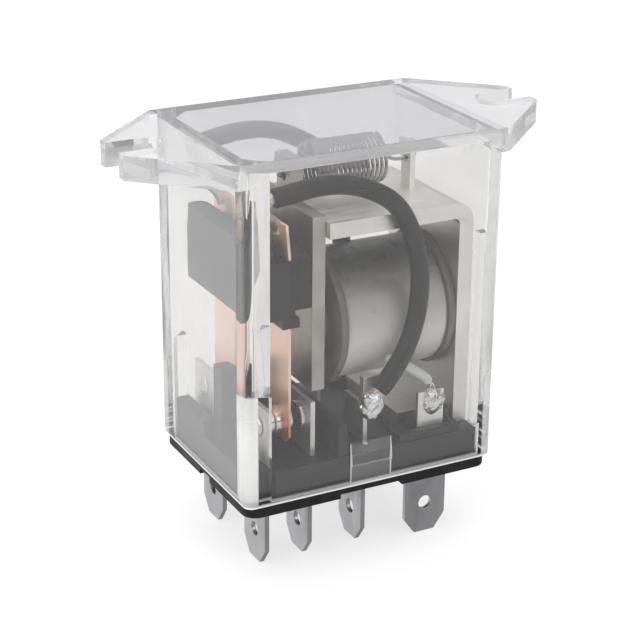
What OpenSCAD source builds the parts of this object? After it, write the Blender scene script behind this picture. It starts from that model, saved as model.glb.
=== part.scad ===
// Two-pole plug-in relay with blade terminals and a clear clip-on dust cover.
// Frame: origin at the centre of the base's seating face, +X along the long side
// from the contacts to the coil terminals, +Y to the back, +Z up. The blades
// reach below Z = 0 into the socket. Front and rear poles mirror each other in Y.

/* [Cover] */
// Length of the cover along X
cover_w = 27.8; // [27.8:0.1:29]
// Depth of the cover along Y
cover_d = 20.8; // [20.8:0.1:22]
// Height of the cover's top above the seating face
cover_top = 36; // [36:0.5:40]
// Thickness of the cover's side walls
wall = 1.1; // [0.9:0.1:1.2]
// Thickness of the cover's roof
roof = 1.3; // [1:0.1:1.5]

/* [Mounting ears] */
// Overall length across both ears
ear_span = 45; // [43:0.5:48]
// Distance between the centres of the two open slots
slot_pitch = 38; // [37:0.5:38.5]
// Width of each open slot
slot_w = 3.5; // [3:0.1:3.8]
// Thickness of the ears
ear_t = 2.4; // [2:0.1:3]

/* [Base] */
// Length of the base plate along X
plate_w = 27.4; // [27:0.1:28]
// Depth of the base plate along Y
plate_d = 20.4; // [20:0.1:21]
// Thickness of the base plate
plate_t = 1.2; // [1:0.1:1.5]
// Height of the moulded block's top above the seating face
block_top = 4.2; // [3.6:0.1:4.4]

/* [Blades] */
// Width of every plug-in blade
blade_w = 4.75; // [4.5:0.05:4.9]
// Thickness of every plug-in blade
blade_t = 0.5; // [0.4:0.1:0.8]
// Length of the blades below the seating face
blade_drop = 7.4; // [6:0.1:9]
// Distance between the two poles' centre planes
pole_pitch = 10; // [9.6:0.1:10.2]
// Radius of the solder eye in each blade
eye_r = 0.75; // [0.5:0.05:0.9]
// X of the normally closed, normally open and common blades
nc_x = -10.3; // [-10.6:0.05:-10.2]
no_x = -5.5; // [-5.6:0.05:-5.3]
com_x = 0.6; // [0.4:0.1:1]
// X of the coil blades, which turn their flat side to the front
coil_x = 7.7; // [7.4:0.1:8]

/* [Magnet] */
// Height of the coil's axis
coil_z = 16; // [15.8:0.1:16.4]
// Radius over the coil's tape
tape_r = 6.8; // [6:0.1:6.9]
// Radius of the bobbin's flanges
flange_r = 7; // [6.9:0.05:7.05]
// Radius of the iron core
core_r = 2.8; // [2.4:0.1:3]
// Thickness of the yoke's steel
yoke_t = 1.6; // [1.4:0.1:1.8]
// Width of the yoke along Y
yoke_w = 14; // [13:0.5:14]
// Thickness of the armature
armature_t = 1.4; // [1.2:0.1:1.6]

/* [Contacts] */
// Open gap at each normally open contact
contact_gap = 0.85; // [0.8:0.05:0.9]
// Height of the contacts' centres
contact_z = 7.8; // [7.4:0.1:8.2]
// Radius of the contact rivets' heads
contact_r = 1.5; // [1.2:0.1:1.6]

/* [Hidden] */
$fn = 48;
eps = 0.01;
pole_y = pole_pitch / 2;
coil_y = 7.6;
inner_w = cover_w - 2 * wall;
inner_d = cover_d - 2 * wall;
inner_cut = 1.7;
block_w = 24.9;
block_d = 18;

// Yoke: an L of steel with the hinge edge at its left end
yoke_left = -3.6;
yoke_right = 12.5;
yoke_top = 28;
hinge_z = yoke_top - yoke_t;
bend_r = 2.2;
foot_left = 5.2;
foot_w = 11;
lug_x = 8.95;
lug_w = 1.8;
lug_t = 0.6;
lug_top = 31.8;

// Armature plate, flush with the yoke's end at rest
hinge_gap = 0.05;
arm_x = yoke_left - hinge_gap;
arm_w = 12.4;
arm_low = 10.6;
arm_top = 28.6;
tail_top = 32;
tail_w = 3;

// Core and bobbin
pole_x = -3;
pole_r = 4.2;
pole_t = 0.9;
rivet_neck_r = 2;
flange_t = 0.8;
flange_l_x = pole_x + pole_t;
flange_r_x = yoke_right - yoke_t - flange_t;

// Contact stack, from the normally closed side to the normally open side
leaf_x = -8.1;
leaf_t = 0.3;
leaf_w = 5;
leaf_low = 6;
button_t = 0.8;
rest_gap = 0.03;
tail_r = 1.1;
shank_r = 0.7;
fixed_low = 10;

// Carrier moulding
carrier_left = -11.4;
carrier_right = -7.2;
carrier_d = 15.6;
carrier_low = 19.4;
carrier_high = 25.2;
rivet_y = 3.6;
rivet_z = 22.6;
rivet_r = 0.8;
rivet_head_r = 1.3;
rivet_end = -6.9;

// Return spring, between the armature's tail and the yoke's lug
spring_z = 31;
spring_r = 1.85;
wire_r = 0.18;
hook_hole_r = 0.45;
spring_l = -2.3;
spring_rgt = 5.5;
spring_turns = 16;

// Route of the front pigtail's insulated lead, from the braid to the common blade
lead_r = 0.95;
LEAD = [
    [-10.1, -7.9, 31.7], [-8.4, -8.1, 32.0], [-5.5, -8.1, 32.3], [-2.7, -8.1, 32.1],
    [0.3, -8.1, 31.1], [3.1, -8.1, 29.1], [5.0, -8.1, 25.6], [5.8, -8.1, 21.8],
    [5.6, -8.1, 17.8], [4.5, -8.1, 14.3], [2.7, -8.1, 11.5], [1.1, -8.1, 9.6]
];

// Route of the bare braid, from just clear of the lead's end to the leaf's welded tip
braid_r = 0.6;
BRAID = [
    [-10.16, -7.89, 31.69], [-10.39, -7.87, 31.65], [-10.6, -7.55, 31.1], [-10.5, -7.0, 30.3],
    [-9.9, -6.4, 29.4], [-9.1, -5.7, 28.8], [-8.6, -5.2, 28.0]
];

// Route of a coil lead in its sleeve, from the tape to the coil blade
sleeve_r = 0.5;
SLEEVE = [
    [3.6, -5.9, 12.4], [4.3, -6.9, 12.2], [5.2, -7.5, 11.7],
    [6.6, -7.7, 10.7], [7.7, -7.7, 9.7], [8.0, -7.7, 8.8]
];

// ---- shared shapes ----

// Rectangle with round corners, centred
module round_rect(w, d, r) {
    square([w - 2 * r, d], center = true);
    square([w, d - 2 * r], center = true);
    for (sx = [-1, 1], sy = [-1, 1])
        translate([sx * (w / 2 - r), sy * (d / 2 - r)])
            circle(r);
}

// Box given by its low and high corners
module span(low, high) {
    translate(low)
        cube(high - low);
}

// A flat shape drawn in (Y, Z), centred on X = x, t thick
module plate_yz(x, t) {
    translate([x - t / 2, 0, 0])
        rotate([90, 0, 90])
            linear_extrude(t)
                children();
}

// A flat shape drawn in (X, Z), centred on Y = y, t thick
module plate_xz(y, t) {
    translate([0, y + t / 2, 0])
        rotate([90, 0, 0])
            linear_extrude(t)
                children();
}

// A round rod along +X from x0 to x1
module rod_x(x0, x1, y, z, r) {
    translate([x0, y, z])
        rotate([0, 90, 0])
            cylinder(h = x1 - x0, r = r);
}

// The rear pole: the front pole seen in a mirror
module rear() {
    mirror([0, 1, 0])
        children();
}

// Triangulated tube of radius r and n sides, swept along route points
function unit(v) = v / norm(v);
function heading(p, i) =
    unit(p[min(i + 1, len(p) - 1)] - p[max(i - 1, 0)]);
function ring(p, i, r, n, across) =
    let (t = heading(p, i),
         side = unit(cross(across, t)),
         up = cross(t, side))
    [for (k = [0 : n - 1]) p[i] + r * (cos(360 * k / n) * side + sin(360 * k / n) * up)];

// across is any direction that the route never runs along
module tube(p, r, n, across = [0.1, 1, 0.1]) {
    rings = len(p);
    points = [for (i = [0 : rings - 1]) each ring(p, i, r, n, across)];
    walls = [for (i = [0 : rings - 2], k = [0 : n - 1])
        [i * n + k, (i + 1) * n + k, (i + 1) * n + (k + 1) % n, i * n + (k + 1) % n]];
    first = [for (k = [0 : n - 1]) k];
    last = [for (k = [n - 1 : -1 : 0]) (rings - 1) * n + k];
    polyhedron(points, concat(walls, [first, last]));
}

// ---- plug-in blades ----

// Lower outline of a blade, tapered to its flat end, with the solder eye
module blade_outline(centre, top) {
    tip_w = 2.3;
    taper = 1.7;
    eye_up = 3.3;
    difference() {
        translate([centre, -blade_drop])
            polygon([
                [-tip_w / 2, 0], [tip_w / 2, 0], [blade_w / 2, taper],
                [blade_w / 2, top + blade_drop], [-blade_w / 2, top + blade_drop],
                [-blade_w / 2, taper]
            ]);
        translate([centre, -blade_drop + eye_up])
            circle(eye_r);
    }
}

// Upright blade that carries one fixed contact
module fixed_blade(x) {
    plate_yz(x, blade_t)
        difference() {
            blade_outline(-pole_y, fixed_low);
            translate([-pole_y, contact_z])
                circle(shank_r);
        }
}

// Common blade: narrow neck above the block, ending in an ear for the lead
module com_blade() {
    neck_front = -7;
    neck_back = -3;
    neck_top = 8.4;
    finger_back = -6.2;
    ear_low = 9.4;
    ear_top = 11.3;
    ear_reach = 2.1;
    plate_yz(com_x, blade_t) {
        blade_outline(-pole_y, block_top);
        translate([neck_front, block_top - eps])
            square([neck_back - neck_front, neck_top - block_top]);
        translate([neck_front, block_top])
            square([finger_back - neck_front, ear_top - block_top]);
    }
    span([com_x - blade_t / 2, neck_front, ear_low],
         [com_x + ear_reach, neck_front + blade_t, ear_top]);
}

// Coil blade, flat side to the front, with a narrower solder tag on top
module coil_blade() {
    tag_w = 3;
    tag_top = 8.8;
    plate_xz(-coil_y, blade_t) {
        blade_outline(coil_x, block_top);
        translate([coil_x - tag_w / 2, block_top - eps])
            square([tag_w, tag_top - block_top]);
    }
}

// ---- cover ----

// Half outline of one ear, from the side wall to the prong tips
module ear_outline() {
    root_x = cover_w / 2 + 0.5;
    root_y = cover_d / 2;
    tip_x = ear_span / 2;
    tip_y = 3.7;
    tip_r = 0.9;
    difference() {
        polygon([
            [0, -root_y], [root_x, -root_y], [tip_x - tip_r, -tip_y], [tip_x, -tip_y + tip_r],
            [tip_x, tip_y - tip_r], [tip_x - tip_r, tip_y], [root_x, root_y], [0, root_y]
        ]);
        translate([slot_pitch / 2, 0])
            circle(slot_w / 2);
        translate([slot_pitch / 2, -slot_w / 2])
            square([tip_x, slot_w]);
    }
}

// Plan of the cavity: left corners cut off at 45 degrees, right corners round
module cavity_plan() {
    difference() {
        round_rect(inner_w, inner_d, 0.5);
        for (s = [-1, 1])
            translate([-inner_w / 2, s * inner_d / 2])
                rotate(45)
                    square(inner_cut * sqrt(2), center = true);
    }
}

// Snap pocket inside a long wall: a wedge above a shallow lead-in channel
module snap_pocket() {
    half_w = 2.3;
    channel_in = 0.3;
    wedge_in = 0.65;
    wedge_low = 3.2;
    wedge_top = 5.8;
    y_in = -inner_d / 2;
    translate([-half_w, 0, 0])
        rotate([90, 0, 90])
            linear_extrude(2 * half_w)
                polygon([
                    [y_in + eps, plate_t - eps], [y_in - channel_in, plate_t - eps],
                    [y_in - channel_in, wedge_low], [y_in - wedge_in, wedge_low],
                    [y_in + eps, wedge_top]
                ]);
}

module dust_cover() {
    post_w = 1.85;
    rib_w = 0.9;
    rib_low = block_top + 0.4;
    post_d = 1.05;
    post_top = 12.4;
    rib_top = 25.4;
    inside_x = inner_w / 2;
    inside_y = inner_d / 2;
    color([0.92, 0.95, 0.95, 0.35])
        union() {
            difference() {
                union() {
                    translate([0, 0, plate_t])
                        linear_extrude(cover_top - plate_t)
                            round_rect(cover_w, cover_d, 0.9);
                    for (s = [0, 1])
                        mirror([s, 0, 0])
                            translate([0, 0, cover_top - ear_t])
                                linear_extrude(ear_t)
                                    ear_outline();
                }
                translate([0, 0, plate_t - 1])
                    linear_extrude(cover_top - roof - plate_t + 1)
                        cavity_plan();
                snap_pocket();
                rear() snap_pocket();
            }
            for (s = [0, 1])
                mirror([0, s, 0]) {
                    span([-inside_x - eps, -inside_y - eps, plate_t],
                         [-inside_x + post_w, -inside_y + post_d, post_top]);
                    span([inside_x - rib_w, -inside_y - eps, rib_low],
                         [inside_x + eps, -inside_y + post_d, rib_top]);
                }
        }
}

// ---- base ----

// Everything that passes down through the base is cut from it
module base_openings() {
    slot_h = 40;
    for (s = [0, 1])
        mirror([0, s, 0]) {
            for (x = [nc_x, no_x, com_x])
                span([x - blade_t / 2, -pole_y - blade_w / 2, -1],
                     [x + blade_t / 2, -pole_y + blade_w / 2, slot_h]);
            span([coil_x - blade_w / 2, -coil_y - blade_t / 2, -1],
                 [coil_x + blade_w / 2, -coil_y + blade_t / 2, slot_h]);
            translate([screw_x, -screw_y, -1]) {
                cylinder(h = slot_h, r = screw_r);
                cylinder(h = 1 + screw_head_t, r = screw_head_r);
            }
        }
}

// Wedge catch on the block's long side, behind the cover's snap pocket
module catch() {
    half_w = 2.1;
    reach = 0.25;
    translate([-half_w, 0, 0])
        rotate([90, 0, 90])
            linear_extrude(2 * half_w)
                polygon([
                    [-block_d / 2 + eps, 3.3], [-block_d / 2 - reach, 3.3],
                    [-block_d / 2 - reach, 3.6], [-block_d / 2 + eps, 4.2]
                ]);
}

module base() {
    corner_x = block_w / 2 - 2.1;
    corner_y = block_d / 2 - 1.2;
    corner_cut = 10;
    pry_half = 3.5;
    pry_h = 0.55;
    barrier_top = 12;
    wall_top = 7.6;
    pad_top = 5.8;
    ledge_top = 5;
    backing_top = 6.3;
    side_y = 8.8;
    color([0.17, 0.16, 0.17])
        difference() {
            union() {
                linear_extrude(plate_t)
                    round_rect(plate_w, plate_d, 1.5);
                difference() {
                    translate([0, 0, plate_t - eps])
                        linear_extrude(block_top - plate_t + eps)
                            square([block_w, block_d], center = true);
                    for (s = [-1, 1])
                        translate([-corner_x - corner_cut / 2,
                                   s * (corner_y + corner_cut / 2), corner_cut / 2 + plate_t])
                            cube(corner_cut, center = true);
                }
                // Barrier between the poles, with a sloped top
                plate_xz(0, 1.8)
                    polygon([[-11.4, block_top - eps], [-3.4, block_top - eps],
                             [-3.4, wall_top], [-9.9, barrier_top], [-11.4, barrier_top]]);
                // Raised pad along the left edge, behind the barrier
                span([-block_w / 2, 0.9, block_top - eps], [-11.1, 7.8, pad_top]);
                // Cross wall between the normally open and common blades
                span([-3.4, -side_y, block_top - eps], [-2.4, side_y, wall_top]);
                for (s = [0, 1])
                    mirror([0, s, 0]) {
                        catch();
                        // Ledge that carries the coil blade and a backing wall behind its tag
                        span([3.6, -side_y, block_top - eps], [10.6, -6.1, ledge_top]);
                        span([5.4, -7.3, block_top - eps], [10.2, -6.4, backing_top]);
                    }
            }
            base_openings();
            // Pry notches under the long edges and a key notch in the left edge
            for (s = [-1, 1])
                translate([-pry_half, s * (plate_d / 2) - 0.8, -1])
                    cube([2 * pry_half, 1.6, 1 + pry_h]);
            span([-plate_w / 2 - 1, -1.1, -1], [-plate_w / 2 + 0.9, 1.1, 0.6]);
        }
}

// ---- terminals and fixed contacts ----

silver = [0.74, 0.73, 0.71];
module nc_terminal_front() { color(silver) fixed_blade(nc_x); }
module nc_terminal_rear() { rear() nc_terminal_front(); }
module no_terminal_front() { color(silver) fixed_blade(no_x); }
module no_terminal_rear() { rear() no_terminal_front(); }
module com_terminal_front() { color(silver) com_blade(); }
module com_terminal_rear() { rear() com_terminal_front(); }
module coil_terminal_front() { color(silver) coil_blade(); }
module coil_terminal_rear() { rear() coil_terminal_front(); }

// Contact rivet through a wall from x0 to x1, its working face at face_x
module contact_rivet(x0, x1, face_x, tail_x) {
    rod_x(min(face_x, x1), max(face_x, x0), -pole_y, contact_z, contact_r);
    rod_x(x0 - eps, x1 + eps, -pole_y, contact_z, shank_r);
    rod_x(min(tail_x, x1), max(tail_x, x0), -pole_y, contact_z, tail_r);
}

module nc_contact_front() {
    face = leaf_x - leaf_t / 2 - button_t - rest_gap;
    color([0.82, 0.8, 0.77])
        contact_rivet(nc_x - blade_t / 2, nc_x + blade_t / 2, face, nc_x - blade_t / 2 - 0.3);
}
module nc_contact_rear() { rear() nc_contact_front(); }

module no_contact_front() {
    face = leaf_x + leaf_t / 2 + button_t + contact_gap;
    color([0.82, 0.8, 0.77])
        contact_rivet(no_x - blade_t / 2, no_x + blade_t / 2, face, no_x + blade_t / 2 + 0.3);
}
module no_contact_rear() { rear() no_contact_front(); }

// ---- moving contacts, carrier and armature ----

module moving_contact_front() {
    color([0.85, 0.83, 0.8])
        rod_x(leaf_x - leaf_t / 2 - button_t, leaf_x + leaf_t / 2 + button_t,
              -pole_y, contact_z, contact_r);
}
module moving_contact_rear() { rear() moving_contact_front(); }

// Copper leaf: straight below, tapered to the braid's weld above the carrier
module contact_leaf_front() {
    half = leaf_w / 2;
    tip_half = 1.9;
    tip_top = 28.5;
    corner = 0.8;
    color([0.86, 0.6, 0.46])
        plate_yz(leaf_x, leaf_t)
            difference() {
                translate([-pole_y, 0])
                    polygon([
                        [-half + corner, leaf_low], [half - corner, leaf_low],
                        [half, leaf_low + corner], [half, carrier_high],
                        [tip_half, tip_top], [-tip_half, tip_top],
                        [-half, carrier_high], [-half, leaf_low + corner]
                    ]);
                translate([-pole_y, contact_z])
                    circle(contact_r);
            }
}
module contact_leaf_rear() { rear() contact_leaf_front(); }

module contact_carrier() {
    mid_x = (carrier_left + carrier_right) / 2;
    body_w = carrier_right - carrier_left;
    back_x = -9.2;
    back_top = 27;
    color([0.14, 0.14, 0.16])
        difference() {
            union() {
                translate([mid_x, 0, carrier_low])
                    linear_extrude(carrier_high - carrier_low)
                        round_rect(body_w, carrier_d, 1.3);
                // Upper back ridge
                translate([(carrier_left + back_x) / 2, 0, carrier_high - eps])
                    linear_extrude(back_top - carrier_high)
                        round_rect(back_x - carrier_left, carrier_d - 1, 1);
                // Web that meets the armature
                span([carrier_right - 1, -6, carrier_low], [arm_x - armature_t, 6, 25]);
                // Noses that steady each leaf
                for (s = [-1, 1])
                    translate([leaf_x, s * pole_y, carrier_low - 1])
                        linear_extrude(1 + eps)
                            square([1.8, leaf_w + 0.6], center = true);
            }
            for (s = [-1, 1])
                span([leaf_x - leaf_t / 2, s * pole_y - leaf_w / 2, 0],
                     [leaf_x + leaf_t / 2, s * pole_y + leaf_w / 2, 40]);
            for (s = [-1, 1])
                rod_x(rivet_end, 0, s * rivet_y, rivet_z, rivet_r);
        }
}

module carrier_rivets() {
    color([0.72, 0.7, 0.66])
        for (s = [-1, 1]) {
            rod_x(rivet_end, arm_x, s * rivet_y, rivet_z, rivet_r);
            rod_x(arm_x, arm_x + 0.35, s * rivet_y, rivet_z, rivet_head_r);
        }
}

module armature() {
    color([0.68, 0.67, 0.64])
        plate_yz(arm_x - armature_t / 2, armature_t)
            difference() {
                union() {
                    translate([-arm_w / 2, arm_low])
                        square([arm_w, arm_top - arm_low]);
                    translate([-tail_w / 2, arm_top - eps])
                        square([tail_w, tail_top - arm_top + eps]);
                }
                for (s = [-1, 1])
                    translate([s * rivet_y, rivet_z])
                        circle(rivet_r);
                translate([0, spring_z])
                    circle(hook_hole_r);
            }
}

// ---- magnet ----

// Side outline of the yoke: top leg, round bend, right leg and foot
module yoke_outline() {
    translate([yoke_left, hinge_z])
        square([yoke_right - bend_r - yoke_left, yoke_t]);
    translate([yoke_right - yoke_t, block_top])
        square([yoke_t, yoke_top - bend_r - block_top]);
    intersection() {
        translate([yoke_right - bend_r, yoke_top - bend_r])
            difference() {
                circle(bend_r);
                circle(bend_r - yoke_t);
            }
        translate([yoke_right - bend_r, yoke_top - bend_r])
            square(bend_r);
    }
}

module yoke() {
    color([0.66, 0.64, 0.6])
        difference() {
            union() {
                plate_xz(0, yoke_w)
                    yoke_outline();
                span([foot_left, -foot_w / 2, block_top],
                     [yoke_right - yoke_t + eps, foot_w / 2, block_top + yoke_t]);
                span([lug_x - lug_t / 2, -lug_w / 2, yoke_top - eps],
                     [lug_x + lug_t / 2, lug_w / 2, lug_top]);
            }
            rod_x(lug_x - 1, lug_x + 1, 0, spring_z, hook_hole_r);
            rod_x(yoke_right - yoke_t - 1, yoke_right + 1, 0, coil_z, rivet_neck_r);
            for (s = [-1, 1])
                translate([screw_x, s * screw_y, 0])
                    cylinder(h = 10, r = screw_r);
        }
}

module core() {
    color([0.6, 0.59, 0.57])
        difference() {
            union() {
                rod_x(pole_x, flange_l_x, 0, coil_z, pole_r);
                rod_x(flange_l_x - eps, yoke_right - yoke_t, 0, coil_z, core_r);
                rod_x(yoke_right - yoke_t - eps, yoke_right, 0, coil_z, rivet_neck_r);
            }
            shading_groove();
        }
}

// Ring groove in the upper half of the pole face
shade_z = coil_z + 1.5;
shade_out = 2.4;
shade_in = 1.7;
shade_t = 0.45;
module shading_groove() {
    difference() {
        rod_x(pole_x - 1, pole_x + shade_t, 0, shade_z, shade_out);
        rod_x(pole_x - 2, pole_x + 1, 0, shade_z, shade_in);
    }
}

module shading_ring() {
    color([0.8, 0.47, 0.3])
        difference() {
            rod_x(pole_x, pole_x + shade_t, 0, shade_z, shade_out);
            rod_x(pole_x - 1, pole_x + 1, 0, shade_z, shade_in);
        }
}

tube_r = 3.5;
module bobbin() {
    color([0.86, 0.84, 0.78])
        difference() {
            union() {
                rod_x(flange_l_x, flange_l_x + flange_t, 0, coil_z, flange_r);
                rod_x(flange_l_x, flange_r_x + flange_t, 0, coil_z, tube_r);
                rod_x(flange_r_x, flange_r_x + flange_t, 0, coil_z, flange_r);
            }
            rod_x(flange_l_x - 1, flange_r_x + 2, 0, coil_z, core_r);
        }
}

tape_t = 0.25;
module coil_winding() {
    color([0.72, 0.4, 0.22])
        difference() {
            rod_x(flange_l_x + flange_t, flange_r_x, 0, coil_z, tape_r - tape_t);
            rod_x(flange_l_x, flange_r_x + 1, 0, coil_z, tube_r);
        }
}

module coil_tape() {
    color([0.55, 0.52, 0.53])
        difference() {
            rod_x(flange_l_x + flange_t, flange_r_x, 0, coil_z, tape_r);
            rod_x(flange_l_x, flange_r_x + 1, 0, coil_z, tape_r - tape_t);
        }
}

// ---- leads and solder ----

module coil_lead_front() { color([0.85, 0.84, 0.8]) tube(SLEEVE, sleeve_r, 8); }
module coil_lead_rear() { rear() coil_lead_front(); }

module coil_solder_front() {
    color([0.78, 0.77, 0.74])
        translate([8, -coil_y, 7.6])
            sphere(1.25);
}
module coil_solder_rear() { rear() coil_solder_front(); }

module com_solder_front() {
    color([0.75, 0.74, 0.7])
        translate([0.7, -7.9, 8.6])
            sphere(1.3);
}
module com_solder_rear() { rear() com_solder_front(); }

module pigtail_front() { color([0.24, 0.23, 0.24]) tube(LEAD, lead_r, 8); }
module pigtail_rear() { rear() pigtail_front(); }
module braid_front() { color([0.8, 0.76, 0.7]) tube(BRAID, braid_r, 8); }
module braid_rear() { rear() braid_front(); }

// ---- spring and screws ----

// One wire: hook in the armature's tail, helical turns, hook in the yoke's lug
module return_spring() {
    steps = 12;
    count = spring_turns * steps;
    pitch = (spring_rgt - spring_l) / count;
    turns = [for (i = [0 : count])
        [spring_l + pitch * i, spring_r * sin(360 * i / steps), spring_z + spring_r * cos(360 * i / steps)]];
    left_hook = [[arm_x - armature_t / 2, 0, spring_z], [spring_l - 0.9, 0, spring_z + 0.2]];
    right_hook = [[spring_rgt + 0.9, 0, spring_z + 0.2], [lug_x + 0.2, 0, spring_z]];
    color([0.8, 0.79, 0.77])
        tube(concat(left_hook, turns, right_hook), wire_r, 6, [1, 0.1, 0.3]);
}

screw_x = 7.4;
screw_y = 3;
screw_r = 1;
screw_head_r = 1.8;
screw_head_t = 0.9;
module frame_screws() {
    color([0.7, 0.69, 0.66])
        for (s = [-1, 1])
            translate([screw_x, s * screw_y, 0])
                difference() {
                    union() {
                        cylinder(h = block_top + yoke_t, r = screw_r);
                        cylinder(h = screw_head_t, r = screw_head_r);
                    }
                    translate([-screw_head_r, -0.2, -1])
                        cube([2 * screw_head_r, 0.4, 1.4]);
                }
}

dust_cover();
base();
nc_terminal_front();
nc_terminal_rear();
no_terminal_front();
no_terminal_rear();
com_terminal_front();
com_terminal_rear();
coil_terminal_front();
coil_terminal_rear();
nc_contact_front();
nc_contact_rear();
no_contact_front();
no_contact_rear();
moving_contact_front();
moving_contact_rear();
contact_leaf_front();
contact_leaf_rear();
contact_carrier();
carrier_rivets();
armature();
yoke();
core();
shading_ring();
bobbin();
coil_winding();
coil_tape();
coil_lead_front();
coil_lead_rear();
coil_solder_front();
coil_solder_rear();
com_solder_front();
com_solder_rear();
pigtail_front();
pigtail_rear();
braid_front();
braid_rear();
return_spring();
frame_screws();
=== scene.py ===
"""Looks for the plug-in relay: a clear clip-on cover over a coil, an armature and two
pairs of changeover contacts. Lengths are in metres, in the CAD's own frame: origin at the
centre of the base's seating face, +X along the long front, +Y to the back, +Z up."""

import math

import bmesh
import bpy
from mathutils import Matrix, Vector, noise


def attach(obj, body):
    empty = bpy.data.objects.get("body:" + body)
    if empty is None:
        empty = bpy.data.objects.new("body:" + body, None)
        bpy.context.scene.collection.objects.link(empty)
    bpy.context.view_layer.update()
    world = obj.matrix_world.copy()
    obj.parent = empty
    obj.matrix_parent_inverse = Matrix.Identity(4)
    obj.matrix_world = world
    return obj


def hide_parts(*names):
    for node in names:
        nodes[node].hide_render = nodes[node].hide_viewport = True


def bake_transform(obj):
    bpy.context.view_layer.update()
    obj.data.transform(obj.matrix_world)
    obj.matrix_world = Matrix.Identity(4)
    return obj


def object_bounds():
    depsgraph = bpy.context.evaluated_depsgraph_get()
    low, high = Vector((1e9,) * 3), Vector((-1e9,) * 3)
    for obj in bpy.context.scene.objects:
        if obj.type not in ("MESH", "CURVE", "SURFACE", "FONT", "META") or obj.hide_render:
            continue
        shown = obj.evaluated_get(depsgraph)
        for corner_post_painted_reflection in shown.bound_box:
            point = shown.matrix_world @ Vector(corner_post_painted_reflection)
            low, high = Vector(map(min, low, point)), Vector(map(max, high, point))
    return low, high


MM = 0.001
FRAME = "relay_frame"
MOVING = "armature_unit"

# Where the cover's faces lie, in millimetres
INSIDE_X, INSIDE_Y = 12.8, 9.3
OUTSIDE_X, OUTSIDE_Y = 13.9, 10.4
RIM_Z, POST_TOP, ROOF_TOP = 1.2, 12.4, 36.0
POCKET_HALF, POCKET_TOP = 2.3, 5.8
# The cut-off inner corners are the plane where |Y| - X has this value
CORNER_CUT = 20.4

# The coil's axis is along X at this height, in millimetres
COIL_Z = 16

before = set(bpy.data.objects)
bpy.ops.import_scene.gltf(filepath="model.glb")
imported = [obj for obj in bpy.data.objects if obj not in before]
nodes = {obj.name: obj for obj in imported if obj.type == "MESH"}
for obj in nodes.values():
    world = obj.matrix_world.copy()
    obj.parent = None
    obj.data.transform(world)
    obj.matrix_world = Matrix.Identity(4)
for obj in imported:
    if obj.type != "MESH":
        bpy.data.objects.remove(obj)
cad_low, cad_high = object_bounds()
scene = bpy.context.scene


# ---- camera, floor and light ----

def make_camera():
    """Camera at the reference viewpoint: left of the front and a little above."""
    azimuth, elevation, roll = (math.radians(a) for a in (-27.86, 22.11, 0.53))
    back = Vector((math.sin(azimuth) * math.cos(elevation),
                   -math.cos(azimuth) * math.cos(elevation),
                   math.sin(elevation)))
    level = Vector((math.cos(azimuth), math.sin(azimuth), 0))
    upright = back.cross(level)
    right = math.cos(roll) * level + math.sin(roll) * upright
    up = math.cos(roll) * upright - math.sin(roll) * level
    data = bpy.data.cameras.new("camera")
    data.sensor_width = 36
    data.lens = 102.18
    data.clip_start = 0.005
    camera = bpy.data.objects.new("camera", data)
    scene.collection.objects.link(camera)
    turn = Matrix((right, up, back)).transposed().to_4x4()
    camera.matrix_world = Matrix.Translation((-0.08045, -0.15097, 0.08433)) @ turn
    scene.camera = camera


def make_softbox(name, place, target, size, power):
    data = bpy.data.lights.new(name, "AREA")
    data.shape = "RECTANGLE"
    data.size, data.size_y = size
    data.energy = power
    light = bpy.data.objects.new(name, data)
    scene.collection.objects.link(light)
    away = (Vector(place) - Vector(target)).normalized()
    light.matrix_world = (Matrix.Translation(place)
                          @ away.to_track_quat("Z", "Y").to_matrix().to_4x4())


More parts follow.
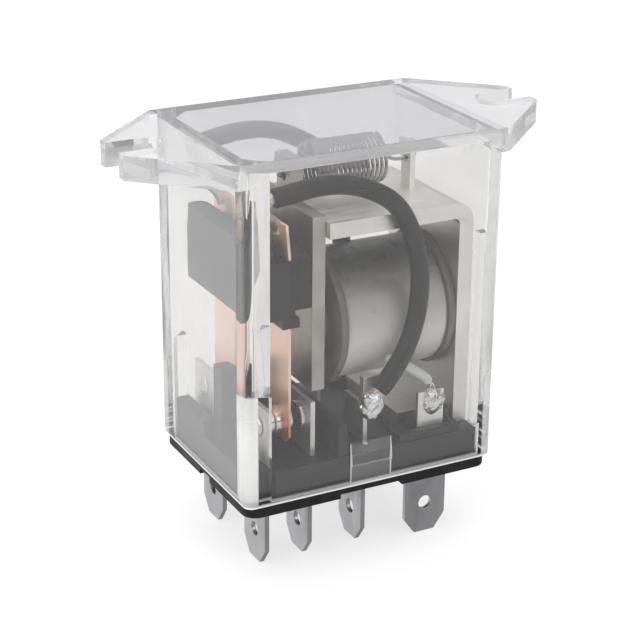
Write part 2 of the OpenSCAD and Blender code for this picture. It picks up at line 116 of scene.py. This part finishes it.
def make_studio():
    """A pale floor under the blades' tips, soft boxes, and a surround brighter at the back."""
    tip_z = cad_low[2]
    clearance = 0.1 * MM
    bm = bmesh.new()
    bmesh.ops.create_circle(bm, cap_ends=True, segments=96, radius=1.2)
    mesh = bpy.data.meshes.new("floor")
    bm.to_mesh(mesh)
    bm.free()
    floor = bpy.data.objects.new("floor", mesh)
    floor.location.z = tip_z - clearance
    scene.collection.objects.link(floor)
    paint = bpy.data.materials.new("floor_white")
    paint.use_nodes = True
    shader = paint.node_tree.nodes["Principled BSDF"]
    shader.inputs["Base Color"].default_value = (0.3, 0.3, 0.3, 1)
    shader.inputs["Roughness"].default_value = 0.9
    shader.inputs["Specular IOR Level"].default_value = 0.1
    shader.inputs["Emission Color"].default_value = (1, 1, 1, 1)
    shader.inputs["Emission Strength"].default_value = 0.72
    mesh.materials.append(paint)
    floor.visible_glossy = False

    world = bpy.data.worlds.new("surround")
    world.use_nodes = True
    tree = world.node_tree
    sky = tree.nodes["Background"]
    place = tree.nodes.new("ShaderNodeTexCoord")
    toward = tree.nodes.new("ShaderNodeVectorMath")
    toward.operation = "DOT_PRODUCT"
    toward.inputs[1].default_value = (-0.25, 0.95, 0.19)
    ramp = tree.nodes.new("ShaderNodeValToRGB")
    tree.links.new(place.outputs["Generated"], toward.inputs[0])
    tree.links.new(toward.outputs["Value"], ramp.inputs["Fac"])
    tree.links.new(ramp.outputs["Color"], sky.inputs["Color"])
    ramp.color_ramp.elements[0].position = 0.3
    ramp.color_ramp.elements[0].color = (0.24, 0.245, 0.255, 1)
    ramp.color_ramp.elements[1].position = 0.85
    ramp.color_ramp.elements[1].color = (0.66, 0.665, 0.69, 1)
    scene.world = world
    scene.view_settings.view_transform = "Standard"
    scene.cycles.max_bounces = 24
    scene.cycles.glossy_bounces = 16
    scene.cycles.transmission_bounces = 20
    scene.cycles.transparent_max_bounces = 24

    middle = (0, 0, 0.015)
    make_softbox("box_top", (0.05, 0.05, 0.6), middle, (0.9, 0.9), 4.4)
    make_softbox("box_left", (-0.5, -0.1, 0.25), middle, (0.35, 0.4), 1.4)
    make_softbox("box_front", (0.2, -0.55, 0.3), middle, (0.5, 0.3), 0.9)


# ---- materials ----

class Paint:
    """A procedural material on one Principled shader, with its patterns in object space."""

    def __init__(self, name, **sockets):
        self.material = bpy.data.materials.new(name)
        self.material.use_nodes = True
        self.tree = self.material.node_tree
        self.shader = self.tree.nodes["Principled BSDF"]
        self.place = self.tree.nodes.new("ShaderNodeTexCoord").outputs["Object"]
        for key, value in sockets.items():
            socket = self.shader.inputs[key.replace("_", " ")]
            socket.default_value = (*value, 1) if isinstance(value, tuple) else value

    def link(self, a, b):
        self.tree.links.new(a, b)

    def noise(self, scale, detail=3, stretch=(1, 1, 1), distortion=0.0):
        """Soft noise; scale is in waves a metre, stretched by a factor on each axis."""
        mapping = self.tree.nodes.new("ShaderNodeMapping")
        mapping.inputs["Scale"].default_value = stretch
        self.link(self.place, mapping.inputs["Vector"])
        node = self.tree.nodes.new("ShaderNodeTexNoise")
        node.inputs["Scale"].default_value = scale
        node.inputs["Detail"].default_value = detail
        node.inputs["Distortion"].default_value = distortion
        self.link(mapping.outputs[0], node.inputs["Vector"])
        return node.outputs["Fac"]

    def wave(self, scale, axis, distortion=0.5):
        """Even ridges across one axis; scale is in ridges a metre."""
        node = self.tree.nodes.new("ShaderNodeTexWave")
        node.bands_direction = axis
        node.inputs["Scale"].default_value = scale * math.pi / 10
        node.inputs["Distortion"].default_value = distortion
        node.inputs["Detail"].default_value = 2
        self.link(self.place, node.inputs["Vector"])
        return node.outputs["Fac"]

    def axes(self):
        """The X, Y and Z of the shaded point, in metres."""
        node = self.tree.nodes.new("ShaderNodeSeparateXYZ")
        self.link(self.place, node.inputs[0])
        return node.outputs

    def number(self, operation, a, b=0.0):
        """One step of arithmetic on two values, each a number or a socket."""
        node = self.tree.nodes.new("ShaderNodeMath")
        node.operation = operation
        for socket, value in zip(node.inputs, (a, b)):
            if isinstance(value, (int, float)):
                socket.default_value = value
            else:
                self.link(value, socket)
        return node.outputs[0]

    def fade(self, value, low, high, at_low, at_high):
        """Goes from at_low to at_high as value passes from low to high millimetres."""
        node = self.tree.nodes.new("ShaderNodeMapRange")
        for key, setting in (("From Min", low * MM), ("From Max", high * MM),
                             ("To Min", at_low), ("To Max", at_high)):
            node.inputs[key].default_value = setting
        self.link(value, node.inputs["Value"])
        return node.outputs[0]

    def product(self, *values):
        """Several values multiplied together."""
        result = values[0]
        for value in values[1:]:
            result = self.number("MULTIPLY", result, value)
        return result

    def ramp(self, value, low, high, stops=(0.35, 0.65)):
        """Colours or numbers from low to high as value passes between the stops."""
        node = self.tree.nodes.new("ShaderNodeValToRGB")
        for element, at, shade in zip(node.color_ramp.elements, stops, (low, high)):
            element.position = at
            element.color = (*shade, 1) if isinstance(shade, tuple) else (shade, shade, shade, 1)
        self.link(value, node.inputs["Fac"])
        return node.outputs["Color"]

    def colour(self, value, low, high, stops=(0.35, 0.65)):
        self.link(self.ramp(value, low, high, stops), self.shader.inputs["Base Color"])
        return self

    def roughness(self, value, low, high, stops=(0.35, 0.65)):
        self.link(self.ramp(value, low, high, stops), self.shader.inputs["Roughness"])
        return self

    def bump(self, value, depth):
        """Raises the surface by up to depth metres where value is high."""
        node = self.tree.nodes.new("ShaderNodeBump")
        node.inputs["Strength"].default_value = 1
        node.inputs["Distance"].default_value = depth
        self.link(value, node.inputs["Height"])
        earlier = self.shader.inputs["Normal"].links
        if earlier:
            self.link(earlier[0].from_socket, node.inputs["Normal"])
        self.link(node.outputs["Normal"], self.shader.inputs["Normal"])
        return self


def clear_plastic():
    """Clear moulded plastic that lets lamps through to what it covers. The roof and the ears are a
    little milky, and the bottom rim and snap pockets are frosted. The thin white veil on the ends
    and the white frost on the posts in the lower corners are painted reflection."""
    paint = Paint("clear_cover_plastic", IOR=1.57, Transmission_Weight=0.985)
    tree, fade = paint.tree, paint.fade
    paint.roughness(paint.noise(260, 4), 0.0, 0.035)
    paint.bump(paint.noise(70, 1), 0.00006)
    paint.bump(paint.noise(420, 2), 0.000004)
    axes = paint.axes()
    z = axes["Z"]
    x = paint.number("ABSOLUTE", axes["X"])
    y = paint.number("ABSOLUTE", axes["Y"])
    roof = paint.product(fade(z, ROOF_TOP - 0.4, ROOF_TOP - 0.25, 0, 1),
                         fade(x, OUTSIDE_X - 0.1, OUTSIDE_X + 0.3, 1, 0))
    paint.colour(roof, (0.9, 0.895, 0.885), (0.65, 0.635, 0.66), (0, 1))

    # How much of the white frost layer each place gets, from 0 for clear to 1. On the end walls
    # and the corner posts this white is painted reflection
    rim = fade(z, RIM_Z + 0.04, RIM_Z + 0.4, 1, 0)
    pocket = paint.product(fade(y, INSIDE_Y + 0.02, INSIDE_Y + 0.06, 0, 1),
                           fade(y, OUTSIDE_Y - 0.3, OUTSIDE_Y - 0.2, 1, 0),
                           fade(z, POCKET_TOP - 0.1, POCKET_TOP + 0.1, 1, 0),
                           fade(x, POCKET_HALF, POCKET_HALF + 0.15, 1, 0),
                           fade(x, POCKET_HALF - 0.15, POCKET_HALF, 0.1, 0.8))
    # White frost on the posts in the lower corners, heaviest low down: painted reflection,
    # standing for light reflected inside the posts
    from_cut = paint.number("SUBTRACT", paint.number("SUBTRACT", y, axes["X"]), CORNER_CUT * MM)
    corner_post_painted_reflection = paint.product(fade(paint.number("ABSOLUTE", from_cut), 0.03, 0.08, 0.75, 0),
                           fade(z, POST_TOP - 0.2, POST_TOP + 0.1, 1, 0),
                           fade(y, INSIDE_Y + 0.02, INSIDE_Y + 0.1, 1, 0),
                           fade(x, INSIDE_X + 0.02, INSIDE_X + 0.1, 1, 0))
    post_foot_painted_reflection = paint.product(fade(y, INSIDE_Y - 0.9, INSIDE_Y - 0.6, 0, 1),
                         fade(x, INSIDE_X - 0.2, INSIDE_X - 0.02, 0, 1),
                         fade(z, POST_TOP - 3.4, POST_TOP - 0.4, 0.5, 0))
    # A thin white veil on both end walls: painted reflection of bright surroundings
    end_wall_painted_reflection = fade(x, OUTSIDE_X - 0.3, OUTSIDE_X - 0.05, 0, 0.13)
    ear = fade(x, OUTSIDE_X + 0.1, OUTSIDE_X + 0.5, 0, 0.28)
    frost_and_painted_reflection_amount = rim
    for place in (pocket, corner_post_painted_reflection, post_foot_painted_reflection, paint.number("MULTIPLY", roof, 0.21), end_wall_painted_reflection, ear):
        frost_and_painted_reflection_amount = paint.number("MAXIMUM", frost_and_painted_reflection_amount, place)
    frost_and_painted_reflection_layer = tree.nodes.new("ShaderNodeBsdfPrincipled")
    paint.link(paint.ramp(fade(z, 28, 30, 0, 1), (0.92, 0.92, 0.9), (0.68, 0.67, 0.685), (0, 1)),
               frost_and_painted_reflection_layer.inputs["Base Color"])
    frost_and_painted_reflection_layer.inputs["Roughness"].default_value = 0.5
    through = tree.nodes.new("ShaderNodeBsdfTransparent")
    through.inputs["Color"].default_value = (0.93, 0.94, 0.93, 1)
    path = tree.nodes.new("ShaderNodeLightPath")
    soft = paint.number("MAXIMUM", path.outputs["Is Shadow Ray"], path.outputs["Is Diffuse Ray"])
    shader = paint.shader
    for amount, other in ((frost_and_painted_reflection_amount, frost_and_painted_reflection_layer), (soft, through)):
        mix = tree.nodes.new("ShaderNodeMixShader")
        paint.link(amount, mix.inputs[0])
        paint.link(shader.outputs[0], mix.inputs[1])
        paint.link(other.outputs[0], mix.inputs[2])
        shader = mix
    paint.link(shader.outputs[0], tree.nodes["Material Output"].inputs["Surface"])
    return paint.material


def black_moulding():
    paint = Paint("black_moulding", IOR=1.46)
    paint.colour(paint.noise(900, 4), (0.011, 0.01, 0.012), (0.021, 0.019, 0.021))
    paint.roughness(paint.noise(300, 3), 0.34, 0.5)
    paint.bump(paint.noise(3500, 3), 0.000002)
    return paint.material


def metal(name, low, high, rough=(0.25, 0.4), grain=(1, 1, 1), grain_scale=1500,
          depth=0.000003):
    """Metal with a drawn or rolled grain along the axis that grain shrinks."""
    paint = Paint(name, Metallic=1)
    streaks = paint.noise(grain_scale, 4, grain)
    paint.colour(paint.noise(350, 5, distortion=0.4), low, high)
    paint.roughness(streaks, *rough)
    paint.bump(streaks, depth)
    return paint


def plain(name, low, high, rough=(0.4, 0.55), scale=500, depth=0.000006, **sockets):
    paint = Paint(name, **sockets)
    paint.colour(paint.noise(scale, 4), low, high)
    paint.roughness(paint.noise(scale * 2, 3), *rough)
    paint.bump(paint.noise(scale * 5, 3), depth)
    return paint


def make_paints():
    along_z, along_x, along_y = (1, 1, 0.06), (0.06, 1, 1), (1, 0.06, 1)
    paints = {
        "clear_cover": clear_plastic(),
        "black_moulding": black_moulding(),
        "tinned_brass": metal("tinned_brass", (0.73, 0.72, 0.71), (0.84, 0.83, 0.82),
                              (0.34, 0.5), along_z, 2600, 0.0000015).material,
        "contact_silver": metal("contact_silver", (0.72, 0.7, 0.67), (0.86, 0.85, 0.82),
                                (0.2, 0.34)).material,
        "yoke_steel": metal("yoke_steel", (0.78, 0.765, 0.735), (0.84, 0.825, 0.795),
                            (0.34, 0.48), along_x, 2400, 0.0000008).material,
        "core_iron": metal("core_iron", (0.42, 0.41, 0.39), (0.55, 0.54, 0.52),
                           (0.3, 0.5)).material,
        "plated_steel": metal("plated_steel", (0.37, 0.35, 0.325), (0.47, 0.445, 0.415),
                              (0.3, 0.42), along_y, 2200, 0.0000012).material,
        "spring_steel": metal("spring_steel", (0.3, 0.29, 0.28), (0.42, 0.41, 0.39),
                              (0.1, 0.18)).material,
        "bobbin_nylon": plain("bobbin_nylon", (0.14, 0.11, 0.095), (0.2, 0.16, 0.14),
                              IOR=1.53).material,
        "solder": metal("solder", (0.6, 0.6, 0.59), (0.78, 0.78, 0.77), (0.18, 0.36),
                        grain_scale=1800, depth=0.00002).material,
        "lead_insulation": plain("lead_insulation", (0.009, 0.008, 0.008), (0.015, 0.014, 0.014),
                                 (0.34, 0.45), 700, 0.0000002, IOR=1.44).material,
        "bare_braid": metal("bare_braid", (0.66, 0.58, 0.5), (0.84, 0.78, 0.7),
                            (0.3, 0.45)).material,
        "coil_lead_sleeve": plain("coil_lead_sleeve", (0.66, 0.63, 0.56), (0.74, 0.71, 0.64),
                                  (0.3, 0.45), Subsurface_Weight=0.3).material,
    }
    wire = Paint("enamelled_wire", Metallic=0.6, Coat_Weight=0.5)
    turns = wire.wave(4200, "X")
    wire.colour(wire.noise(600, 3), (0.42, 0.15, 0.06), (0.6, 0.26, 0.12))
    wire.roughness(turns, 0.2, 0.35)
    wire.bump(turns, 0.00008)
    paints["enamelled_wire"] = wire.material

    # The copper's colour is darker and redder low down, near the contacts and the base: painted
    # shade
    copper = Paint("copper", Metallic=0.7)
    streaks = copper.noise(1800, 4, along_z)
    copper.colour(copper.fade(copper.axes()["Z"], 7.5, 12, 0, 1),
                  (0.62, 0.23, 0.1), (0.99, 0.69, 0.56), (0, 1))
    copper.roughness(streaks, 0.28, 0.36)
    copper.bump(streaks, 0.0000003)
    paints["copper"] = copper.material

    # The tape's colour is darker where it turns up under the yoke: painted shade of the yoke
    tape = Paint("coil_tape", Coat_Weight=0.3)
    tape.colour(tape.fade(tape.axes()["Z"], COIL_Z - 1, COIL_Z + 6.5, 0, 1),
                (0.68, 0.63, 0.62), (0.07, 0.062, 0.062), (0, 1))
    tape.roughness(tape.noise(500, 3), 0.26, 0.38)
    tape.bump(tape.noise(1250, 3), 0.000012)
    paints["coil_tape"] = tape.material
    return paints


def paint_node(name, material):
    mesh = nodes[name].data
    mesh.materials.clear()
    mesh.materials.append(material)


def soften(name, width, segments):
    """Rounds a CAD node's sharp edges with modifiers, its own mesh unchanged. Edges that turn
    by less than 32 degrees stay as they are."""
    node = nodes[name]
    weld = node.modifiers.new("weld", "WELD")
    weld.merge_threshold = 0.000002
    flat = node.modifiers.new("flat", "DECIMATE")
    flat.decimate_type = "DISSOLVE"
    flat.angle_limit = math.radians(1)
    bevel = node.modifiers.new("bevel", "BEVEL")
    bevel.width = width
    bevel.segments = segments
    bevel.limit_method = "ANGLE"
    bevel.angle_limit = math.radians(32)
    node.modifiers.new("shade", "WEIGHTED_NORMAL")


make_camera()
make_studio()
paints = make_paints()

NODE_PAINT = {
    "dust_cover": "clear_cover", "base": "black_moulding", "contact_carrier": "black_moulding",
    "carrier_rivets": "plated_steel", "armature": "plated_steel", "yoke": "yoke_steel",
    "core": "core_iron", "shading_ring": "copper", "bobbin": "bobbin_nylon",
    "coil_winding": "enamelled_wire", "coil_tape": "coil_tape",
    "return_spring": "spring_steel", "frame_screws": "yoke_steel",
}
for side in ("front", "rear"):
    for kind in ("nc", "no", "com", "coil"):
        NODE_PAINT[f"{kind}_terminal_{side}"] = "tinned_brass"
    for kind in ("nc", "no", "moving"):
        NODE_PAINT[f"{kind}_contact_{side}"] = "contact_silver"
    NODE_PAINT[f"contact_leaf_{side}"] = "copper"
    NODE_PAINT[f"coil_lead_{side}"] = "coil_lead_sleeve"
    NODE_PAINT[f"coil_solder_{side}"] = "solder"
    NODE_PAINT[f"com_solder_{side}"] = "solder"
    NODE_PAINT[f"pigtail_{side}"] = "lead_insulation"
    NODE_PAINT[f"braid_{side}"] = "bare_braid"

for name, paint in NODE_PAINT.items():
    paint_node(name, paints[paint])


# ---- mesh building ----

def add_object(name, bm, paint, node=None, body=FRAME):
    """Turns a bmesh in millimetres into a smooth-shaded piece that stands for a CAD node."""
    bmesh.ops.scale(bm, vec=(MM, MM, MM), verts=bm.verts)
    bmesh.ops.recalc_face_normals(bm, faces=bm.faces)
    mesh = bpy.data.meshes.new(name)
    bm.to_mesh(mesh)
    bm.free()
    mesh.shade_smooth()
    mesh.materials.append(paints[paint])
    piece = bpy.data.objects.new(name, mesh)
    scene.collection.objects.link(piece)
    if body:
        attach(piece, body)
    if node:
        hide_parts(*([node] if isinstance(node, str) else node))
    return piece


def smooth_route(points, per_span):
    """A smooth curve through the points, per_span steps between each two."""
    p = [Vector(q) for q in points]
    p = [2 * p[0] - p[1]] + p + [2 * p[-1] - p[-2]]
    route = []
    for i in range(1, len(p) - 2):
        a, b, c, d = p[i - 1:i + 3]
        for k in range(per_span):
            t = k / per_span
            route.append(0.5 * (2 * b + (c - a) * t + (2 * a - 5 * b + 4 * c - d) * t ** 2
                                + (3 * b - a - 3 * c + d) * t ** 3))
    return route + [p[-2]]


def frames_along(route):
    """(point, side, up) at each point of a route, carried along without twist."""
    side, frames = None, []
    for i, point in enumerate(route):
        ahead = (route[min(i + 1, len(route) - 1)] - route[max(i - 1, 0)]).normalized()
        if side is None:
            side = ahead.orthogonal().normalized()
        side = (side - side.dot(ahead) * ahead).normalized()
        frames.append((point, side, ahead.cross(side)))
    return frames


def add_tube(bm, route, radius, sides):
    """Sweeps a round tube with flat ends. radius is a number or a function of 0..1."""
    size = radius if callable(radius) else lambda t: radius
    rings = []
    last = len(route) - 1
    for i, (point, side, up) in enumerate(frames_along(route)):
        r = size(i / last)
        rings.append([bm.verts.new(point + r * (math.cos(a) * side + math.sin(a) * up))
                      for a in (2 * math.pi * k / sides for k in range(sides))])
    for a, b in zip(rings, rings[1:]):
        for k in range(sides):
            bm.faces.new((a[k], a[(k + 1) % sides], b[(k + 1) % sides], b[k]))
    bm.faces.new(rings[0][::-1])
    bm.faces.new(rings[-1])


def add_strands(bm, route, count, spread, radius, turns):
    """A bundle of round strands that twist about a route, spread(0..1) away from it."""
    frames = frames_along(route)
    last = len(frames) - 1
    for k in range(count):
        line = []
        for i, (point, side, up) in enumerate(frames):
            angle = 2 * math.pi * (k / count + turns * i / last)
            line.append(point + spread(i / last) * (math.cos(angle) * side
                                                    + math.sin(angle) * up))
        add_tube(bm, line, radius, 8)


def rear_of(points):
    return [(x, -y, z) for x, y, z in points]


# ---- flexible leads ----

LEAD = [(-10.1, -7.9, 31.7), (-8.4, -8.1, 32.0), (-5.5, -8.1, 32.3), (-2.7, -8.1, 32.1),
        (0.3, -8.1, 31.1), (3.1, -8.1, 29.1), (5.0, -8.1, 25.6), (5.8, -8.1, 21.8),
        (5.6, -8.1, 17.8), (4.5, -8.1, 14.3), (2.7, -8.1, 11.5), (1.5, -8.1, 10.1)]
BRAID = [(-9.7, -7.95, 31.8), (-10.16, -7.89, 31.69), (-10.39, -7.84, 31.6),
         (-10.6, -7.55, 31.1), (-10.5, -7.0, 30.3), (-9.9, -6.4, 29.4), (-9.1, -5.7, 28.8),
         (-8.45, -5.2, 27.9), (-8.35, -5.05, 27.2)]
TAIL = [(2.0, -8.1, 10.7), (1.5, -8.1, 10.1), (1.1, -8.0, 9.5), (0.9, -7.9, 8.7),
        (0.85, -7.85, 8.0)]
SLEEVE = [(3.6, -5.9, 12.4), (4.3, -6.9, 12.2), (5.2, -7.5, 11.7), (6.6, -7.7, 10.7),
          (7.4, -7.7, 9.9)]
COIL_WIRE = [(7.2, -7.7, 10.1), (7.7, -7.75, 9.5), (8.0, -7.8, 8.6), (8.0, -7.8, 7.4)]
LEAD_R = 0.95
STRAND_R = 0.17


def jacket(t):
    """Radius of the lead's jacket: cut square at the top, drawn in by the solder's heat."""
    cut_end, cut_back = 0.004, 0.08
    heated, drawn_in = 0.06, 0.1
    shrink = max(0.0, (t - (1 - heated)) / heated)
    return LEAD_R * (1 - drawn_in * shrink ** 2) - (cut_back if t < cut_end else 0)


def make_leads(side, place):
    bm = bmesh.new()
    add_tube(bm, smooth_route(place(LEAD), 10), jacket, 24)
    lead = add_object(f"pigtail_jacket_{side}", bm, "lead_insulation", f"pigtail_{side}", None)
    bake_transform(lead)

    bm = bmesh.new()
    route = smooth_route(place(BRAID), 8)
    add_strands(bm, route, 9, lambda t: 0.42 - 0.1 * t, STRAND_R, turns=1.6)
    add_tube(bm, route, 0.3, 8)
    add_object(f"braid_strands_{side}", bm, "bare_braid", f"braid_{side}", MOVING)

    bm = bmesh.new()
    add_strands(bm, smooth_route(place(TAIL), 6), 9, lambda t: 0.5 - 0.12 * t, STRAND_R, turns=0.5)
    add_object(f"pigtail_end_{side}", bm, "bare_braid")

    bm = bmesh.new()
    add_tube(bm, smooth_route(place(SLEEVE), 8), 0.5, 16)
    add_object(f"coil_sleeve_{side}", bm, "coil_lead_sleeve", f"coil_lead_{side}")
    bm = bmesh.new()
    add_strands(bm, smooth_route(place(COIL_WIRE), 6), 2, lambda t: 0.16, 0.16, turns=1.5)
    add_object(f"coil_wire_{side}", bm, "solder")


def make_solder(name, node, centre, size, seed):
    """A frozen drop: an irregular rounded lump, drawn out downwards."""
    bm = bmesh.new()
    bmesh.ops.create_icosphere(bm, subdivisions=5, radius=1)
    offset = Vector((seed * 7.3, seed * 3.1, seed * 5.7))
    for v in bm.verts:
        n = v.co.normalized()
        swell = 1
        for height, waves in ((0.24, 1.4), (0.09, 3.6)):
            swell += height * noise.noise(n * waves + offset)
        swell += 0.14 * max(0.0, -n.z) ** 2
        v.co = Vector(centre) + Vector(tuple(a * b * swell for a, b in zip(n, size)))
    add_object(name, bm, "solder", node)


for side, place in (("front", list), ("rear", rear_of)):
    make_leads(side, place)
    y = -1 if side == "front" else 1
    make_solder(f"com_joint_{side}", f"com_solder_{side}", (0.7, 7.9 * y, 8.7),
                (1.25, 0.95, 1.45), 1.7 + y)
    make_solder(f"coil_joint_{side}", f"coil_solder_{side}", (7.95, 7.7 * y, 7.7),
                (1.3, 0.8, 1.3), 4.2 + y)


# ---- spring ----

def make_spring():
    """Close turns at the armature's end, open turns to the lug, and a hook at each end."""
    radius, wire, axis_z = 1.85, 0.18, 31.0
    steps, close, wide = 20, 3.5, 12.5
    start, close_pitch, open_pitch = -2.3, 0.42, 0.506
    coil = []
    total = int((close + wide) * steps)
    for i in range(total + 1):
        turn = i / steps
        x = start + close_pitch * min(turn, close) + open_pitch * max(0.0, turn - close)
        angle = 2 * math.pi * turn
        coil.append(Vector((x, radius * math.sin(angle), axis_z + radius * math.cos(angle))))
    left = [(-5.6, 0.1, 31.75), (-5.55, 0.05, 31.3), (-5.2, 0, 31.0), (-4.4, 0, 31.0),
            (-3.4, 0, 31.2), (-2.8, -0.35, 32.0)]
    right = [(5.85, 0.7, 32.5), (6.4, 0.2, 31.5), (7.4, 0, 31.05), (8.9, 0, 31.0),
             (9.5, 0, 31.05), (9.7, 0.05, 31.35), (9.6, 0.1, 31.65)]
    route = smooth_route(left, 6) + coil + smooth_route(right, 6)
    bm = bmesh.new()
    add_tube(bm, route, wire, 10)
    spring = add_object("spring_wire", bm, "spring_steel", "return_spring", None)
    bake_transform(spring)


make_spring()


# ---- coil ----

def make_tape():
    """Film wound over the coil: a slight crown, edge folds at the flanges and a loose end."""
    left, right, radius, thick = -1.25, 10.05, 6.8, 0.25
    inset = 0.09
    edge_dip, dip_length = 0.1, 0.03
    wrinkle_depth = 0.035
    end_step, end_angle, end_width = 0.06, 292, 0.7
    seam_angle = 358
    around, along = 180, 44
    angles = [2 * math.pi * k / around for k in range(around)]
    bm = bmesh.new()

    def ring(x, size):
        """A ring of points about the coil's axis. size gives the radius at each angle."""
        return [bm.verts.new((x, size(a) * math.cos(a), COIL_Z + size(a) * math.sin(a)))
                for a in angles]

    def outer(i):
        t = i / along
        x = left + (right - left) * t
        dip = edge_dip * math.exp(-min(t, 1 - t) / dip_length)

        def size(angle):
            degrees = math.degrees(angle)
            wrinkle = wrinkle_depth * noise.noise(
                Vector((x * 0.5, 3 * math.cos(angle), 3 * math.sin(angle))))
            end = end_step / (1 + math.exp(-(degrees - end_angle) / end_width))
            return radius - inset - dip + wrinkle + end * (degrees < seam_angle)

        return ring(x, size)

    grid = [outer(i) for i in range(along + 1)]
    inner = [ring(x, lambda angle: radius - thick) for x in (left, right)]
    rows = [inner[0]] + grid + [inner[1]]
    for a, b in zip(rows, rows[1:] + rows[:1]):
        for k in range(around):
            bm.faces.new((a[k], a[(k + 1) % around], b[(k + 1) % around], b[k]))
    add_object("tape_wrap", bm, "coil_tape", "coil_tape")


make_tape()


# ---- edges ----

# Each CAD node's edge radius in millimetres, and the number of steps round it
SOFT_EDGES = {
    "dust_cover": (0.35, 4), "base": (0.15, 2), "contact_carrier": (0.18, 3), "yoke": (0.12, 2),
    "armature": (0.1, 2), "bobbin": (0.15, 2), "carrier_rivets": (0.12, 2), "core": (0.1, 2),
    "frame_screws": (0.08, 2),
}
for side in ("front", "rear"):
    for kind in ("nc", "no", "com", "coil"):
        SOFT_EDGES[f"{kind}_terminal_{side}"] = (0.07, 2)
    for kind in ("nc", "no", "moving"):
        SOFT_EDGES[f"{kind}_contact_{side}"] = (0.18, 3)
    SOFT_EDGES[f"contact_leaf_{side}"] = (0.05, 2)

for name, (width, segments) in SOFT_EDGES.items():
    soften(name, width * MM, segments)
